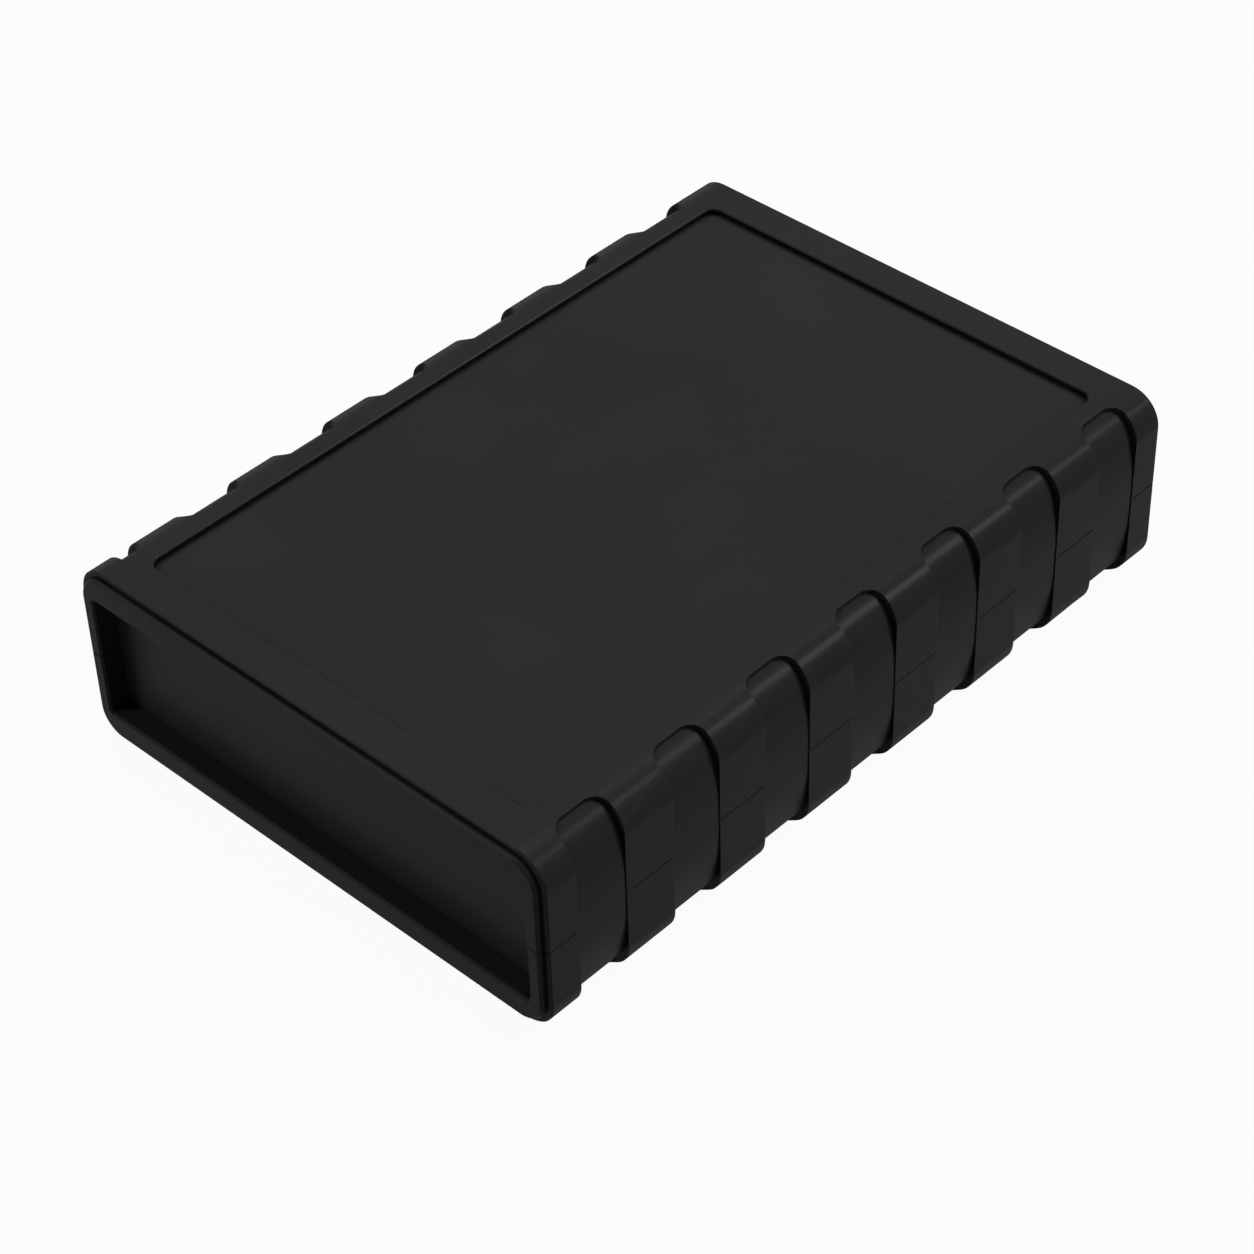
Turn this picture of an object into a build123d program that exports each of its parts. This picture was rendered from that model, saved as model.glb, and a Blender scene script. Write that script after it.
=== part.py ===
from build123d import *
import os

# A two-part moulded instrument case with a slide-in panel at each end.
# Frame: millimetres, +Z up, origin under the centre of the base.
# X runs across the ribbed sides, Y from the front panel to the rear panel.

# --- Outside of the housing ---
case_w = 140.0          # over the ribbed sides
case_l = 202.0          # over the faces of the two end rims
base_h = 24.0           # from the standing face to the parting line
cover_h = 24.0          # from the parting line to the top face
edge_r = 8.0            # rounding of the four long edges
body_end_bevel = 0.4    # bevel on the body's end edges, above the step

# --- Walls ---
side_t = 3.0
floor_t = 3.0
roof_t = 4.0
inner_edge_r = 8.0      # rounding inside the four long edges

# --- Stepped collar and rim at each end ---
collar_step = 1.5       # how far the collar sits inside the body's outline
collar_len = 1.5        # how far it stands out of the body's end
collar_bevel = 0.6      # bevel on its outer edge
rim_side = 3.5          # rim thickness at the sides
rim_high = 6.2          # rim thickness at the top and bottom
rim_corner_r = 1.0      # corners of the rim's opening
rim_bevel = 0.5         # bevel on the opening's outer edge

# --- End panels and the slots that hold them ---
panel_setback = 5.5     # from the rim's face to the panel
panel_t = 2.0
panel_lap = 1.8         # how far the panel reaches behind the rim
panel_corner_r = 1.5
panel_clear = 0.15      # between a panel's edge and its slot
panel_play = 0.1        # between a panel's face and its slot
slot_rib_t = 2.0        # rib behind the panel

# --- Grip recesses along both sides ---
recess_count = 7        # in each side
right_recess_pitch = 28.0
right_recess_w = 14.0
left_recess_w = 17.0    # the left row is wider spaced, and its first recess is cut short
end_land = 6.5          # kept whole at the ends of each side
recess_flat = 4.0       # half height of the shallow band at the parting line
recess_depth = 1.3      # at the shoulder, where the edge rounding begins
recess_end_depth = 0.85  # at the notch in the top and bottom faces
notch_reach = 7.5       # how far the notch reaches in from the side
notch_corner_r = 4.0

# --- Label recess in the top face ---
label_inset_x = 12.2
label_inset_y = 10.8
label_depth = 1.5
label_corner_r = 3.0
label_bevel = 0.3

# --- Parting line: groove outside, lap joint inside ---
parting_depth = 0.25
parting_gap = 0.4
tongue_t = 1.3
tongue_h = 1.6
tongue_clear = 0.15

# --- Case screws and their bosses ---
boss_inset_x = 11.0     # from the case's side to the screw
boss_inset_y = 18.0     # from the case's end to the screw
base_boss_d = 10.0
cover_boss_d = 8.0
web_t = 2.0             # webs that tie a boss to the walls
web_drop = 4.0          # from the parting line to the webs' edge
screw_d = 3.0
screw_l = 25.0
screw_fit = 0.03        # round the thread in the cover's boss
screw_clear = 0.2       # round the shank in the base
head_d = 5.6
head_h = 2.1
head_clear = 0.6        # round the head in its counterbore
head_seat_z = 10.0      # height of the seat in the counterbore
cross_l = 3.0           # cross recess in the head
cross_w = 0.7
cross_depth = 1.2
pilot_extra = 2.0       # pilot hole past the screw's tip

# --- Circuit board pillars ---
pillar_pitch_x = 100.0
pillar_pitch_y = 130.0
pillar_d = 6.5
pillar_h = 5.0          # above the floor
pillar_hole_d = 2.5
pillar_hole_depth = 6.0

# --- Derived values ---
case_h = base_h + cover_h
side_x = case_w / 2
end_y = case_l / 2
body_end_y = end_y - collar_len
opening_w = case_w - 2 * (collar_step + rim_side)
opening_low = collar_step + rim_high
opening_high = case_h - opening_low
slot_t = panel_t + 2 * panel_play
end_frame_l = panel_setback + slot_t + slot_rib_t
cavity_end_y = end_y - end_frame_l
panel_w = opening_w + 2 * panel_lap
panel_low = opening_low - panel_lap
panel_high = opening_high + panel_lap
panel_y = end_y - panel_setback - slot_t / 2
notch_x = side_x - notch_reach
boss_x = side_x - boss_inset_x
boss_y = end_y - boss_inset_y
pilot_top = head_seat_z + screw_l + pilot_extra
left_recess_pitch = case_l / recess_count
left_row_y = -left_recess_w / 2
label_w = case_w - 2 * label_inset_x
label_l = case_l - 2 * label_inset_y
over = 5.0              # how far cutting bodies run past what they cut
embed = 1.0             # how deep inner features root in the walls
tiny = 0.01             # tolerance when edges are picked by place

from_below = (Align.CENTER, Align.CENTER, Align.MIN)


def slab(size_x, size_y, low, high):
    """A block centred on X and Y between two heights."""
    return Pos(0, 0, low) * Box(size_x, size_y, high - low, align=from_below)


def long_prism(width, low, high, radius, length):
    """A bar along Y with a rounded rectangular section, centred on X and Y."""
    outline = Pos(0, (low + high) / 2) * RectangleRounded(width, high - low, radius)
    return extrude(Plane.XZ * outline, amount=length / 2, both=True)


def post(x, y, low, high, diameter):
    """An upright cylinder between two heights."""
    return Pos(x, y, low) * Cylinder(diameter / 2, high - low, align=from_below)


def both_ends(shape):
    """A shape made for the rear end, and its mirror image at the front."""
    return [shape, mirror(shape, about=Plane.XZ)]


def four_corners(x, y):
    """The four points of a rectangle centred on the origin."""
    return [(sx * x, sy * y) for sy in (-1, 1) for sx in (-1, 1)]


def end_edges(bar):
    """The outlines of a bar's two end faces."""
    by_place = bar.edges().group_by(Axis.Y)
    return by_place[0] + by_place[-1]


def outer_block():
    """The housing's outside, with its stepped collars, before any recess."""
    body = long_prism(case_w, 0, case_h, edge_r, 2 * body_end_y)
    collar = long_prism(
        case_w - 2 * collar_step, collar_step, case_h - collar_step, edge_r - collar_step, case_l)
    return chamfer(end_edges(body), body_end_bevel) + chamfer(end_edges(collar), collar_bevel)


def recess_section():
    """XZ section of the air in one recess on the +X side, from its floor outwards.

    The floor is a shallow upright band at the parting line. From there it
    falls away along a large arc to the shoulder and rolls over the long edge
    into the notch.
    """
    band_x = side_x - parting_depth
    floor = [Line((band_x, base_h - recess_flat), (band_x, base_h + recess_flat))]
    for up, face_z in ((1, case_h), (-1, 0)):
        start = (band_x, base_h + up * recess_flat)
        shoulder = (side_x - recess_depth, face_z - up * edge_r)
        notch_end = (notch_x, face_z - up * recess_end_depth)
        taper = TangentArc(start, shoulder, tangent=(0, up))
        crown = TangentArc(shoulder, notch_end, tangent=taper % 1)
        floor += [taper, crown]
    outside = Polyline(
        (notch_x, case_h - recess_end_depth),
        (notch_x, case_h + over),
        (side_x + over, case_h + over),
        (side_x + over, -over),
        (notch_x, -over),
        (notch_x, recess_end_depth),
    )
    return make_face(Curve() + floor + [outside])


def recess_cutter(width):
    """The air in one recess on the +X side, centred on Y."""
    along = extrude(Plane.XZ * recess_section(), amount=width, both=True)
    reach = notch_reach + over + notch_corner_r
    plan = Pos(notch_x + reach / 2, 0) * RectangleRounded(reach, width, notch_corner_r)
    down = extrude(Pos(0, 0, -over) * plan, amount=case_h + 2 * over)
    return along & down


def recess_row(cutter, pitch, middle_y):
    """Copies of one recess's air along a side, spaced about the middle one."""
    first_y = middle_y - pitch * (recess_count - 1) / 2
    return [Pos(0, first_y + index * pitch, 0) * cutter for index in range(recess_count)]


def cut_recesses(block):
    """Cuts the row of recesses in each side."""
    right = recess_cutter(right_recess_w)
    left = mirror(recess_cutter(left_recess_w), about=Plane.YZ)
    rows = recess_row(right, right_recess_pitch, 0)
    rows += recess_row(left, left_recess_pitch, left_row_y)
    between = slab(case_w + 2 * over, 2 * (body_end_y - end_land), -over, case_h + over)
    return block - [air & between for air in rows]


def is_label_edge(edge):
    """Whether an edge is part of the label recess's outline in the top face."""
    point = edge @ 0.5
    inside = abs(point.X) < label_w / 2 + tiny and abs(point.Y) < label_l / 2 + tiny
    return inside and abs(point.Z - case_h) < tiny


def cut_label_recess(block):
    """Cuts the shallow recess in the top face and bevels its outline."""
    outline = RectangleRounded(label_w, label_l, label_corner_r)
    block -= extrude(Pos(0, 0, case_h - label_depth) * outline, amount=over)
    return chamfer(block.edges().filter_by(is_label_edge), label_bevel)


def is_mouth_edge(edge):
    """Whether an edge is part of a rim opening's outline in the rim's face."""
    point = edge @ 0.5
    inside = abs(point.X) < opening_w / 2 + tiny and opening_low - tiny < point.Z < opening_high + tiny
    return inside and abs(abs(point.Y) - end_y) < tiny


def cut_rim_openings(block):
    """Cuts the opening through both rims and bevels its outline."""
    block -= long_prism(opening_w, opening_low, opening_high, rim_corner_r, case_l + 2 * over)
    return chamfer(block.edges().filter_by(is_mouth_edge), rim_bevel)


def cavity(grow=0):
    """The air between the two end frames; grow enlarges it into the walls."""
    return long_prism(
        case_w - 2 * (side_t - grow),
        floor_t - grow,
        case_h - roof_t + grow,
        inner_edge_r + grow,
        2 * (cavity_end_y + grow),
    )


def panel_slots():
    """The air of the slots that hold the two end panels."""
    low = panel_low - panel_clear
    high = panel_high + panel_clear
    return both_ends(Pos(0, panel_y, 0) * slab(panel_w + 2 * panel_clear, slot_t, low, high))


def parting_groove():
    """The air of the fine groove that marks the parting line."""
    low = base_h - parting_gap / 2
    high = base_h + parting_gap / 2
    ring = slab(case_w + over, case_l + over, low, high)
    ring -= slab(case_w - 2 * parting_depth, 2 * (body_end_y - parting_depth), low, high)
    ring -= slab(case_w - 2 * (collar_step + parting_depth), case_l - 2 * parting_depth, low, high)
    mouth = slab(opening_w + 2 * parting_depth, panel_setback, low, high)
    return [ring] + both_ends(Pos(0, end_y - panel_setback / 2, 0) * mouth)


def tongues(clear):
    """The lap joint's two tongues; clear is added for the rebates that take them."""
    thick = tongue_t + clear
    length = 2 * (cavity_end_y - tongue_clear + clear)
    bar = slab(thick, length, base_h, base_h + tongue_h + clear)
    offset = side_x - side_t + thick / 2
    return [Pos(side * offset, 0, 0) * bar for side in (-1, 1)]


def bosses(diameter, low, high, web_low, web_high):
    """Screw bosses, each tied by webs to the side wall and to the end frame."""
    shapes = []
    web_l = boss_inset_x + boss_inset_y
    for x, y in four_corners(boss_x, boss_y):
        web_x = x + (web_l / 2 if x > 0 else -web_l / 2)
        web_y = y + (web_l / 2 if y > 0 else -web_l / 2)
        to_side = Pos(web_x, y, 0) * slab(web_l, web_t, web_low, web_high)
        to_end = Pos(x, web_y, 0) * slab(web_t, web_l, web_low, web_high)
        shapes += [post(x, y, low, high, diameter), to_side, to_end]
    return shapes


def posts(points, low, high, diameter):
    """Equal upright cylinders at several points."""
    return [post(x, y, low, high, diameter) for x, y in points]


def within(space, shapes):
    """The part of some fused shapes that lies inside a space."""
    return (Part() + shapes) & space


def housing():
    """The whole moulding before it is parted: outside form, hollow, groove."""
    shell = cut_recesses(outer_block())
    shell = cut_label_recess(shell)
    shell = cut_rim_openings(shell)
    shell -= cavity()
    shell -= panel_slots()
    shell -= parting_groove()
    return shell


def bottom_base(shell):
    """The lower half: tongues, screw bosses with counterbores, board pillars."""
    screws_at = four_corners(boss_x, boss_y)
    pillars_at = four_corners(pillar_pitch_x / 2, pillar_pitch_y / 2)
    pillar_top = floor_t + pillar_h
    base = shell & slab(case_w + over, case_l + over, -over, base_h)
    base += tongues(0)
    inner = bosses(base_boss_d, 0, base_h, 0, base_h - web_drop)
    inner += posts(pillars_at, 0, pillar_top, pillar_d)
    base += within(cavity(embed), inner)
    base -= posts(screws_at, -over, head_seat_z, head_d + 2 * head_clear)
    base -= posts(screws_at, 0, base_h + over, screw_d + 2 * screw_clear)
    base -= posts(pillars_at, pillar_top - pillar_hole_depth, pillar_top + over, pillar_hole_d)
    return base


def top_cover(shell):
    """The upper half: rebates for the tongues and blind screw bosses."""
    screws_at = four_corners(boss_x, boss_y)
    cover = shell & slab(case_w + over, case_l + over, base_h, case_h + over)
    cover -= tongues(tongue_clear)
    inner = bosses(cover_boss_d, base_h, case_h, base_h + web_drop, case_h)
    cover += within(cavity(embed), inner)
    cover -= posts(screws_at, base_h - over, pilot_top, screw_d + 2 * screw_fit)
    return cover


def end_panel(side):
    """A flat panel in its slot; side is -1 at the front and 1 at the rear."""
    panel = long_prism(panel_w, panel_low, panel_high, panel_corner_r, panel_t)
    return Pos(0, side * panel_y, 0) * panel


def case_screw():
    """A pan head self-tapping screw, point up, with its seat at the origin."""
    head = Pos(0, 0, -head_h) * Cylinder(head_d / 2, head_h, align=from_below)
    for size in ((cross_l, cross_w), (cross_w, cross_l)):
        head -= Pos(0, 0, -head_h) * Box(*size, cross_depth, align=from_below)
    return head + Cylinder(screw_d / 2, screw_l, align=from_below)


def write(name, shape):
    export_step(shape, f"parts/{name}.step")


os.makedirs("parts", exist_ok=True)
moulding = housing()
write("bottom_base", bottom_base(moulding))
write("top_cover", top_cover(moulding))
write("front_panel", end_panel(-1))
write("rear_panel", end_panel(1))
screw = case_screw()
for number, (x, y) in enumerate(four_corners(boss_x, boss_y), start=1):
    write(f"case_screw_{number}", Pos(x, y, head_seat_z) * screw)
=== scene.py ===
import bpy
import math
from mathutils import Euler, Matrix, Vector

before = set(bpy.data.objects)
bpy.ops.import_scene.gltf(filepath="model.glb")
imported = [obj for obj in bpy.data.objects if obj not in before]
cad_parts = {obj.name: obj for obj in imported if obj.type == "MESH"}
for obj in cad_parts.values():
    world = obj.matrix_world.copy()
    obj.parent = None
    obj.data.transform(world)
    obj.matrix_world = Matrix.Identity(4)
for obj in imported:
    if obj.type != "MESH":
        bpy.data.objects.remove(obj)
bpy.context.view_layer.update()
scene = bpy.context.scene

# A black moulded instrument case. Every visible piece is its CAD node with a procedural material.
# Lengths are in metres, angles in degrees and colours linear.
MM = 0.001
WHITE = (1, 1, 1, 1)

# --- Camera: where it looks, from where, and how long its lens is ---
LOOK_AT = Vector((14.1, -17.5, 24.0)) * MM
CAMERA_DISTANCE = 740.6 * MM
CAMERA_AZIMUTH = 44.48      # from the front (-Y) towards the right (+X)
CAMERA_ELEVATION = 41.0
CAMERA_ROLL = -1.94
CAMERA_CLIP = (0.01, 50.0)
IMAGE_SIDE = 1254           # pixels
FOCAL_PIXELS = 3376
SENSOR = 36.0               # millimetres, as Blender's lens is

# --- Floor, world and lamps ---
FLOOR_SIDE = 12.0
FLOOR_COLOUR = (0.42, 0.42, 0.42, 1)
FLOOR_HEIGHT = -0.2 * MM    # just clear of the standing face
FLOOR_SHARE = 0.05          # of the floor's own lit colour in what is seen, the rest being white
WORLD_LIGHT = 0.08
SOFTBOX_DISTANCE = 2.0
SOFTBOXES = {               # power in watts
    "overhead_softbox": {"azimuth": -150, "elevation": 72, "side": 1.3, "power": 26.8},
    "edge_softbox": {"azimuth": 137, "elevation": 39, "side": 0.45, "power": 19},
    "front_softbox": {"azimuth": -40, "elevation": 34, "side": 0.5, "power": 10.5},
}

# --- Noise, with its scales in features a metre ---
NOISE_RANGE = (0.3, 0.7)    # what most of a noise lies between
FLOW_SCALE = 22.0
SPECK_SCALE = 900.0
PATCH_SCALE = 420.0
MARK_SCALE = 5200.0

# --- Moulded plastic ---
CASE_COLOUR = (0.0210, 0.0210, 0.0215)
PANEL_COLOUR = (0.0258, 0.0258, 0.0263)
FLOW_TONE = 0.06            # how far the mould flow lightens and darkens the colour
FLOW_GLOSS = 0.025          # how far it changes the roughness
GRAIN_STRENGTH = 0.5
DUST_COLOUR = (0.034, 0.034, 0.035)
DUST_RANGE = (0.72, 0.80)   # of the speck noise
DUST_SHARE = 0.35
# colour of the painted shade in crevices, where the piece closes itself in
PAINTED_SHADE_COLOUR = (0.002, 0.002, 0.002)
PAINTED_SHADE_REACH = 5.0 * MM          # how far the painted shade in crevices reaches
PAINTED_SHADE_RANGE = (0.4, 0.85)  # openness at which the painted shade is full, and at which there is none
# colour of the painted highlight along edges
EDGE_HIGHLIGHT_COLOUR = (0.041, 0.041, 0.042)
EDGE_HIGHLIGHT_REACH = 0.15 * MM          # how far the painted edge highlight reaches from the edge
EDGE_HIGHLIGHT_LEAST = 0.6          # share of the painted edge highlight where the flow noise is low
EDGE_COSINES = (0.995, 0.86)  # of the angle that rounding turns the normal by, off and on an edge
EDGE_ON_RANGE = (0.55, 0.9)  # from seen slantwise to seen edge on
EDGE_ON_DULL = 0.45         # roughness added where the surface is seen edge on

# --- Steel of the screws ---
STEEL_COLOUR = (0.46, 0.46, 0.47)
STEEL_DULL = 0.8            # colour of the dull patches, as a share
STEEL_ROUGHNESS = (0.28, 0.42)
STEEL_EDGE = 0.15 * MM
MARK_DEPTH = 0.02 * MM
MARK_STRENGTH = 0.4


class Nodes:
    """Builds the node tree of one material or world, one short call a node."""

    def __init__(self, owner):
        owner.use_nodes = True
        self.owner = owner
        self.tree = owner.node_tree
        self.tree.nodes.clear()

    def add(self, kind, **settings):
        node = self.tree.nodes.new(kind)
        for key, value in settings.items():
            setattr(node, key, value)
        return node

    def link(self, source, target):
        self.tree.links.new(source, target)

    def place(self):
        return self.add("ShaderNodeTexCoord").outputs["Object"]

    def noise(self, where, scale, detail, roughness=0.5):
        node = self.add("ShaderNodeTexNoise")
        node.inputs["Scale"].default_value = scale
        node.inputs["Detail"].default_value = detail
        node.inputs["Roughness"].default_value = roughness
        self.link(where, node.inputs["Vector"])
        return node.outputs["Fac"]

    def ramp(self, value, source_range, target_range=(0.0, 1.0)):
        """Takes one range of numbers to another, and stops at its ends."""
        node = self.add("ShaderNodeMapRange")
        names = ("From Min", "From Max", "To Min", "To Max")
        for name, number in zip(names, (*source_range, *target_range)):
            node.inputs[name].default_value = number
        self.link(value, node.inputs["Value"])
        return node.outputs["Result"]

    def math(self, operation, first, second):
        node = self.add("ShaderNodeMath", operation=operation)
        for socket, value in zip(node.inputs, (first, second)):
            if isinstance(value, (int, float)):
                socket.default_value = value
            else:
                self.link(value, socket)
        return node.outputs[0]

    def mix(self, factor, first, second):
        """Blends two colours, each a tuple or another node's output."""
        node = self.add("ShaderNodeMix", data_type="RGBA")
        self.link(factor, node.inputs["Factor"])
        for name, value in (("A", first), ("B", second)):
            socket = [s for s in node.inputs if s.name == name and s.type == "RGBA"][0]
            if isinstance(value, tuple):
                socket.default_value = (*value[:3], 1)
            else:
                self.link(value, socket)
        return [s for s in node.outputs if s.type == "RGBA"][0]

    def bump(self, height, distance, strength, normal):
        node = self.add("ShaderNodeBump")
        node.inputs["Distance"].default_value = distance
        node.inputs["Strength"].default_value = strength
        self.link(height, node.inputs["Height"])
        self.link(normal, node.inputs["Normal"])
        return node.outputs["Normal"]

    def rounded(self, radius):
        node = self.add("ShaderNodeBevel", samples=6)
        node.inputs["Radius"].default_value = radius
        return node.outputs["Normal"]

    def edges(self, radius):
        """1 along an edge between two faces, falling to 0 a radius away."""
        rounded = self.rounded(radius)
        flat = self.add("ShaderNodeNewGeometry").outputs["True Normal"]
        node = self.add("ShaderNodeVectorMath", operation="DOT_PRODUCT")
        self.link(rounded, node.inputs[0])
        self.link(flat, node.inputs[1])
        return self.ramp(node.outputs["Value"], EDGE_COSINES)

    def openness(self, reach):
        """1 on an open surface, and less the more of the piece itself closes it in."""
        node = self.add("ShaderNodeAmbientOcclusion", samples=8, only_local=True)
        node.inputs["Distance"].default_value = reach
        return node.outputs["AO"]

    def edge_on(self):
        node = self.add("ShaderNodeLayerWeight")
        node.inputs["Blend"].default_value = 0.5
        return node.outputs["Facing"]

    def seen(self):
        """1 for what the camera sees, straight, mirrored or through glass, and 0 for other light."""
        path = self.add("ShaderNodeLightPath").outputs
        shiny = self.math("MAXIMUM", path["Is Glossy Ray"], path["Is Transmission Ray"])
        return self.math("MAXIMUM", path["Is Camera Ray"], shiny)

    def shader(self, kind, **inputs):
        node = self.add(kind)
        for name, value in inputs.items():
            node.inputs[name].default_value = value
        return node.outputs[0]

    def blend(self, factor, first, second):
        """Blends two shaders."""
        node = self.add("ShaderNodeMixShader")
        for socket, source in zip(node.inputs, (factor, first, second)):
            self.link(source, socket)
        return node.outputs["Shader"]

    def finish(self, shader, output="ShaderNodeOutputMaterial"):
        self.link(shader, self.add(output).inputs["Surface"])
        return self.owner


def moulded_plastic(name, colour, grain_size, grain_depth, edge_radius, roughness, specular):
    """Black ABS with a spark-eroded grain, soft mould flow, painted shade in crevices, painted
    highlights along edges, and rounded edges.
    """
    n = Nodes(bpy.data.materials.new(name))
    where = n.place()
    grain = n.noise(where, 1 / grain_size, detail=3.0, roughness=0.6)
    flow = n.noise(where, FLOW_SCALE, detail=3.0)
    speck = n.noise(where, SPECK_SCALE, detail=1.0)

    darker = tuple(c * (1 - FLOW_TONE) for c in colour)
    lighter = tuple(c * (1 + FLOW_TONE) for c in colour)
    tone = n.mix(n.ramp(flow, NOISE_RANGE), darker, lighter)
    dusty = n.mix(n.ramp(speck, DUST_RANGE, (0.0, DUST_SHARE)), tone, DUST_COLOUR)
    # painted highlight: a lighter colour along the edges, stronger where the flow noise is high
    edge_highlight = n.math("MULTIPLY", n.edges(EDGE_HIGHLIGHT_REACH), n.ramp(flow, NOISE_RANGE, (EDGE_HIGHLIGHT_LEAST, 1.0)))
    highlighted = n.mix(edge_highlight, dusty, EDGE_HIGHLIGHT_COLOUR)
    # painted shade: a darker colour in crevices, from ambient occlusion within the piece
    clear = n.ramp(n.openness(PAINTED_SHADE_REACH), PAINTED_SHADE_RANGE)

    even = n.ramp(flow, NOISE_RANGE, (roughness - FLOW_GLOSS, roughness + FLOW_GLOSS))
    duller = n.math("MULTIPLY", n.ramp(n.edge_on(), EDGE_ON_RANGE), EDGE_ON_DULL)
    normal = n.bump(grain, grain_depth, GRAIN_STRENGTH, n.rounded(edge_radius))

    shader = n.add("ShaderNodeBsdfPrincipled")
    shader.inputs["Specular IOR Level"].default_value = specular
    # base colour with the painted shade in crevices and the painted edge highlight
    n.link(n.mix(clear, PAINTED_SHADE_COLOUR, highlighted), shader.inputs["Base Color"])
    n.link(n.math("ADD", even, duller), shader.inputs["Roughness"])
    n.link(normal, shader.inputs["Normal"])
    return n.finish(shader.outputs["BSDF"])


def zinc_plated_steel():
    """Passivated steel of the case screws, with fine drawn marks and duller patches."""
    n = Nodes(bpy.data.materials.new("zinc_plated_steel"))
    where = n.place()
    patches = n.noise(where, PATCH_SCALE, detail=4.0)
    marks = n.noise(where, MARK_SCALE, detail=2.0)
    dull = tuple(c * STEEL_DULL for c in STEEL_COLOUR)
    normal = n.bump(marks, MARK_DEPTH, MARK_STRENGTH, n.rounded(STEEL_EDGE))

    shader = n.add("ShaderNodeBsdfPrincipled")
    shader.inputs["Metallic"].default_value = 1.0
    n.link(n.mix(patches, dull, STEEL_COLOUR), shader.inputs["Base Color"])
    n.link(n.ramp(patches, NOISE_RANGE, STEEL_ROUGHNESS), shader.inputs["Roughness"])
    n.link(normal, shader.inputs["Normal"])
    return n.finish(shader.outputs["BSDF"])


def floor_material():
    """Pale floor, seen from above only. Its lit colour carries the shadow, and the rest is white."""
    n = Nodes(bpy.data.materials.new("studio_floor"))
    lit = n.shader("ShaderNodeBsdfDiffuse", Color=FLOOR_COLOUR)
    white = n.shader("ShaderNodeEmission", Color=WHITE)
    from_above = n.blend(n.math("MULTIPLY", n.seen(), 1 - FLOOR_SHARE), lit, white)
    from_below = n.shader("ShaderNodeBsdfTransparent")
    facing_away = n.add("ShaderNodeNewGeometry").outputs["Backfacing"]
    return n.finish(n.blend(facing_away, from_above, from_below))


def add_floor():
    bpy.ops.mesh.primitive_plane_add(size=FLOOR_SIDE, location=(0, 0, FLOOR_HEIGHT))
    floor = bpy.context.object
    floor.name = "studio_floor"
    floor.data.materials.append(floor_material())


def add_world():
    """Soft light from all round, seen as white."""
    n = Nodes(bpy.data.worlds.new("studio"))
    soft = n.shader("ShaderNodeBackground", Color=WHITE, Strength=WORLD_LIGHT)
    white = n.shader("ShaderNodeBackground", Color=WHITE)
    scene.world = n.finish(n.blend(n.seen(), soft, white), "ShaderNodeOutputWorld")


def direction(azimuth, elevation):
    """Unit vector from the case, with azimuth 0 at the front (-Y) and 90 at the right (+X)."""
    around = math.radians(azimuth)
    up = math.radians(elevation)
    level = math.cos(up)
    return Vector((math.sin(around) * level, -math.cos(around) * level, math.sin(up)))


def add_softbox(name, azimuth, elevation, side, power):
    """A square area light that looks at the case."""
    light = bpy.data.lights.new(name, "AREA")
    light.shape = "SQUARE"
    light.size = side
    light.energy = power
    lamp = bpy.data.objects.new(name, light)
    towards = direction(azimuth, elevation)
    lamp.location = LOOK_AT + towards * SOFTBOX_DISTANCE
    lamp.rotation_euler = towards.to_track_quat("Z", "Y").to_euler()
    scene.collection.objects.link(lamp)


def add_camera():
    data = bpy.data.cameras.new("camera")
    data.sensor_width = SENSOR
    data.lens = FOCAL_PIXELS * SENSOR / IMAGE_SIDE
    data.clip_start, data.clip_end = CAMERA_CLIP
    camera = bpy.data.objects.new("camera", data)
    towards = direction(CAMERA_AZIMUTH, CAMERA_ELEVATION)
    camera.location = LOOK_AT + towards * CAMERA_DISTANCE
    roll = Euler((0, 0, math.radians(CAMERA_ROLL))).to_quaternion()
    camera.rotation_euler = (towards.to_track_quat("Z", "Y") @ roll).to_euler()
    scene.collection.objects.link(camera)
    scene.camera = camera


def dress(node, material):
    """Gives a CAD node its material."""
    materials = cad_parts[node].data.materials
    materials.clear()
    materials.append(material)


case_plastic = moulded_plastic(
    "case_plastic", CASE_COLOUR, grain_size=0.35 * MM, grain_depth=0.012 * MM,
    edge_radius=0.12 * MM, roughness=0.25, specular=0.0165)
panel_plastic = moulded_plastic(
    "panel_plastic", PANEL_COLOUR, grain_size=0.3 * MM, grain_depth=0.010 * MM,
    edge_radius=0.10 * MM, roughness=0.32, specular=0.017)
steel = zinc_plated_steel()

for node in ("top_cover", "bottom_base"):
    dress(node, case_plastic)
for node in ("front_panel", "rear_panel"):
    dress(node, panel_plastic)
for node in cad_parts:
    if node.startswith("case_screw"):
        dress(node, steel)

add_floor()
add_world()
for name, softbox in SOFTBOXES.items():
    add_softbox(name, **softbox)
add_camera()

scene.view_settings.view_transform = "Standard"
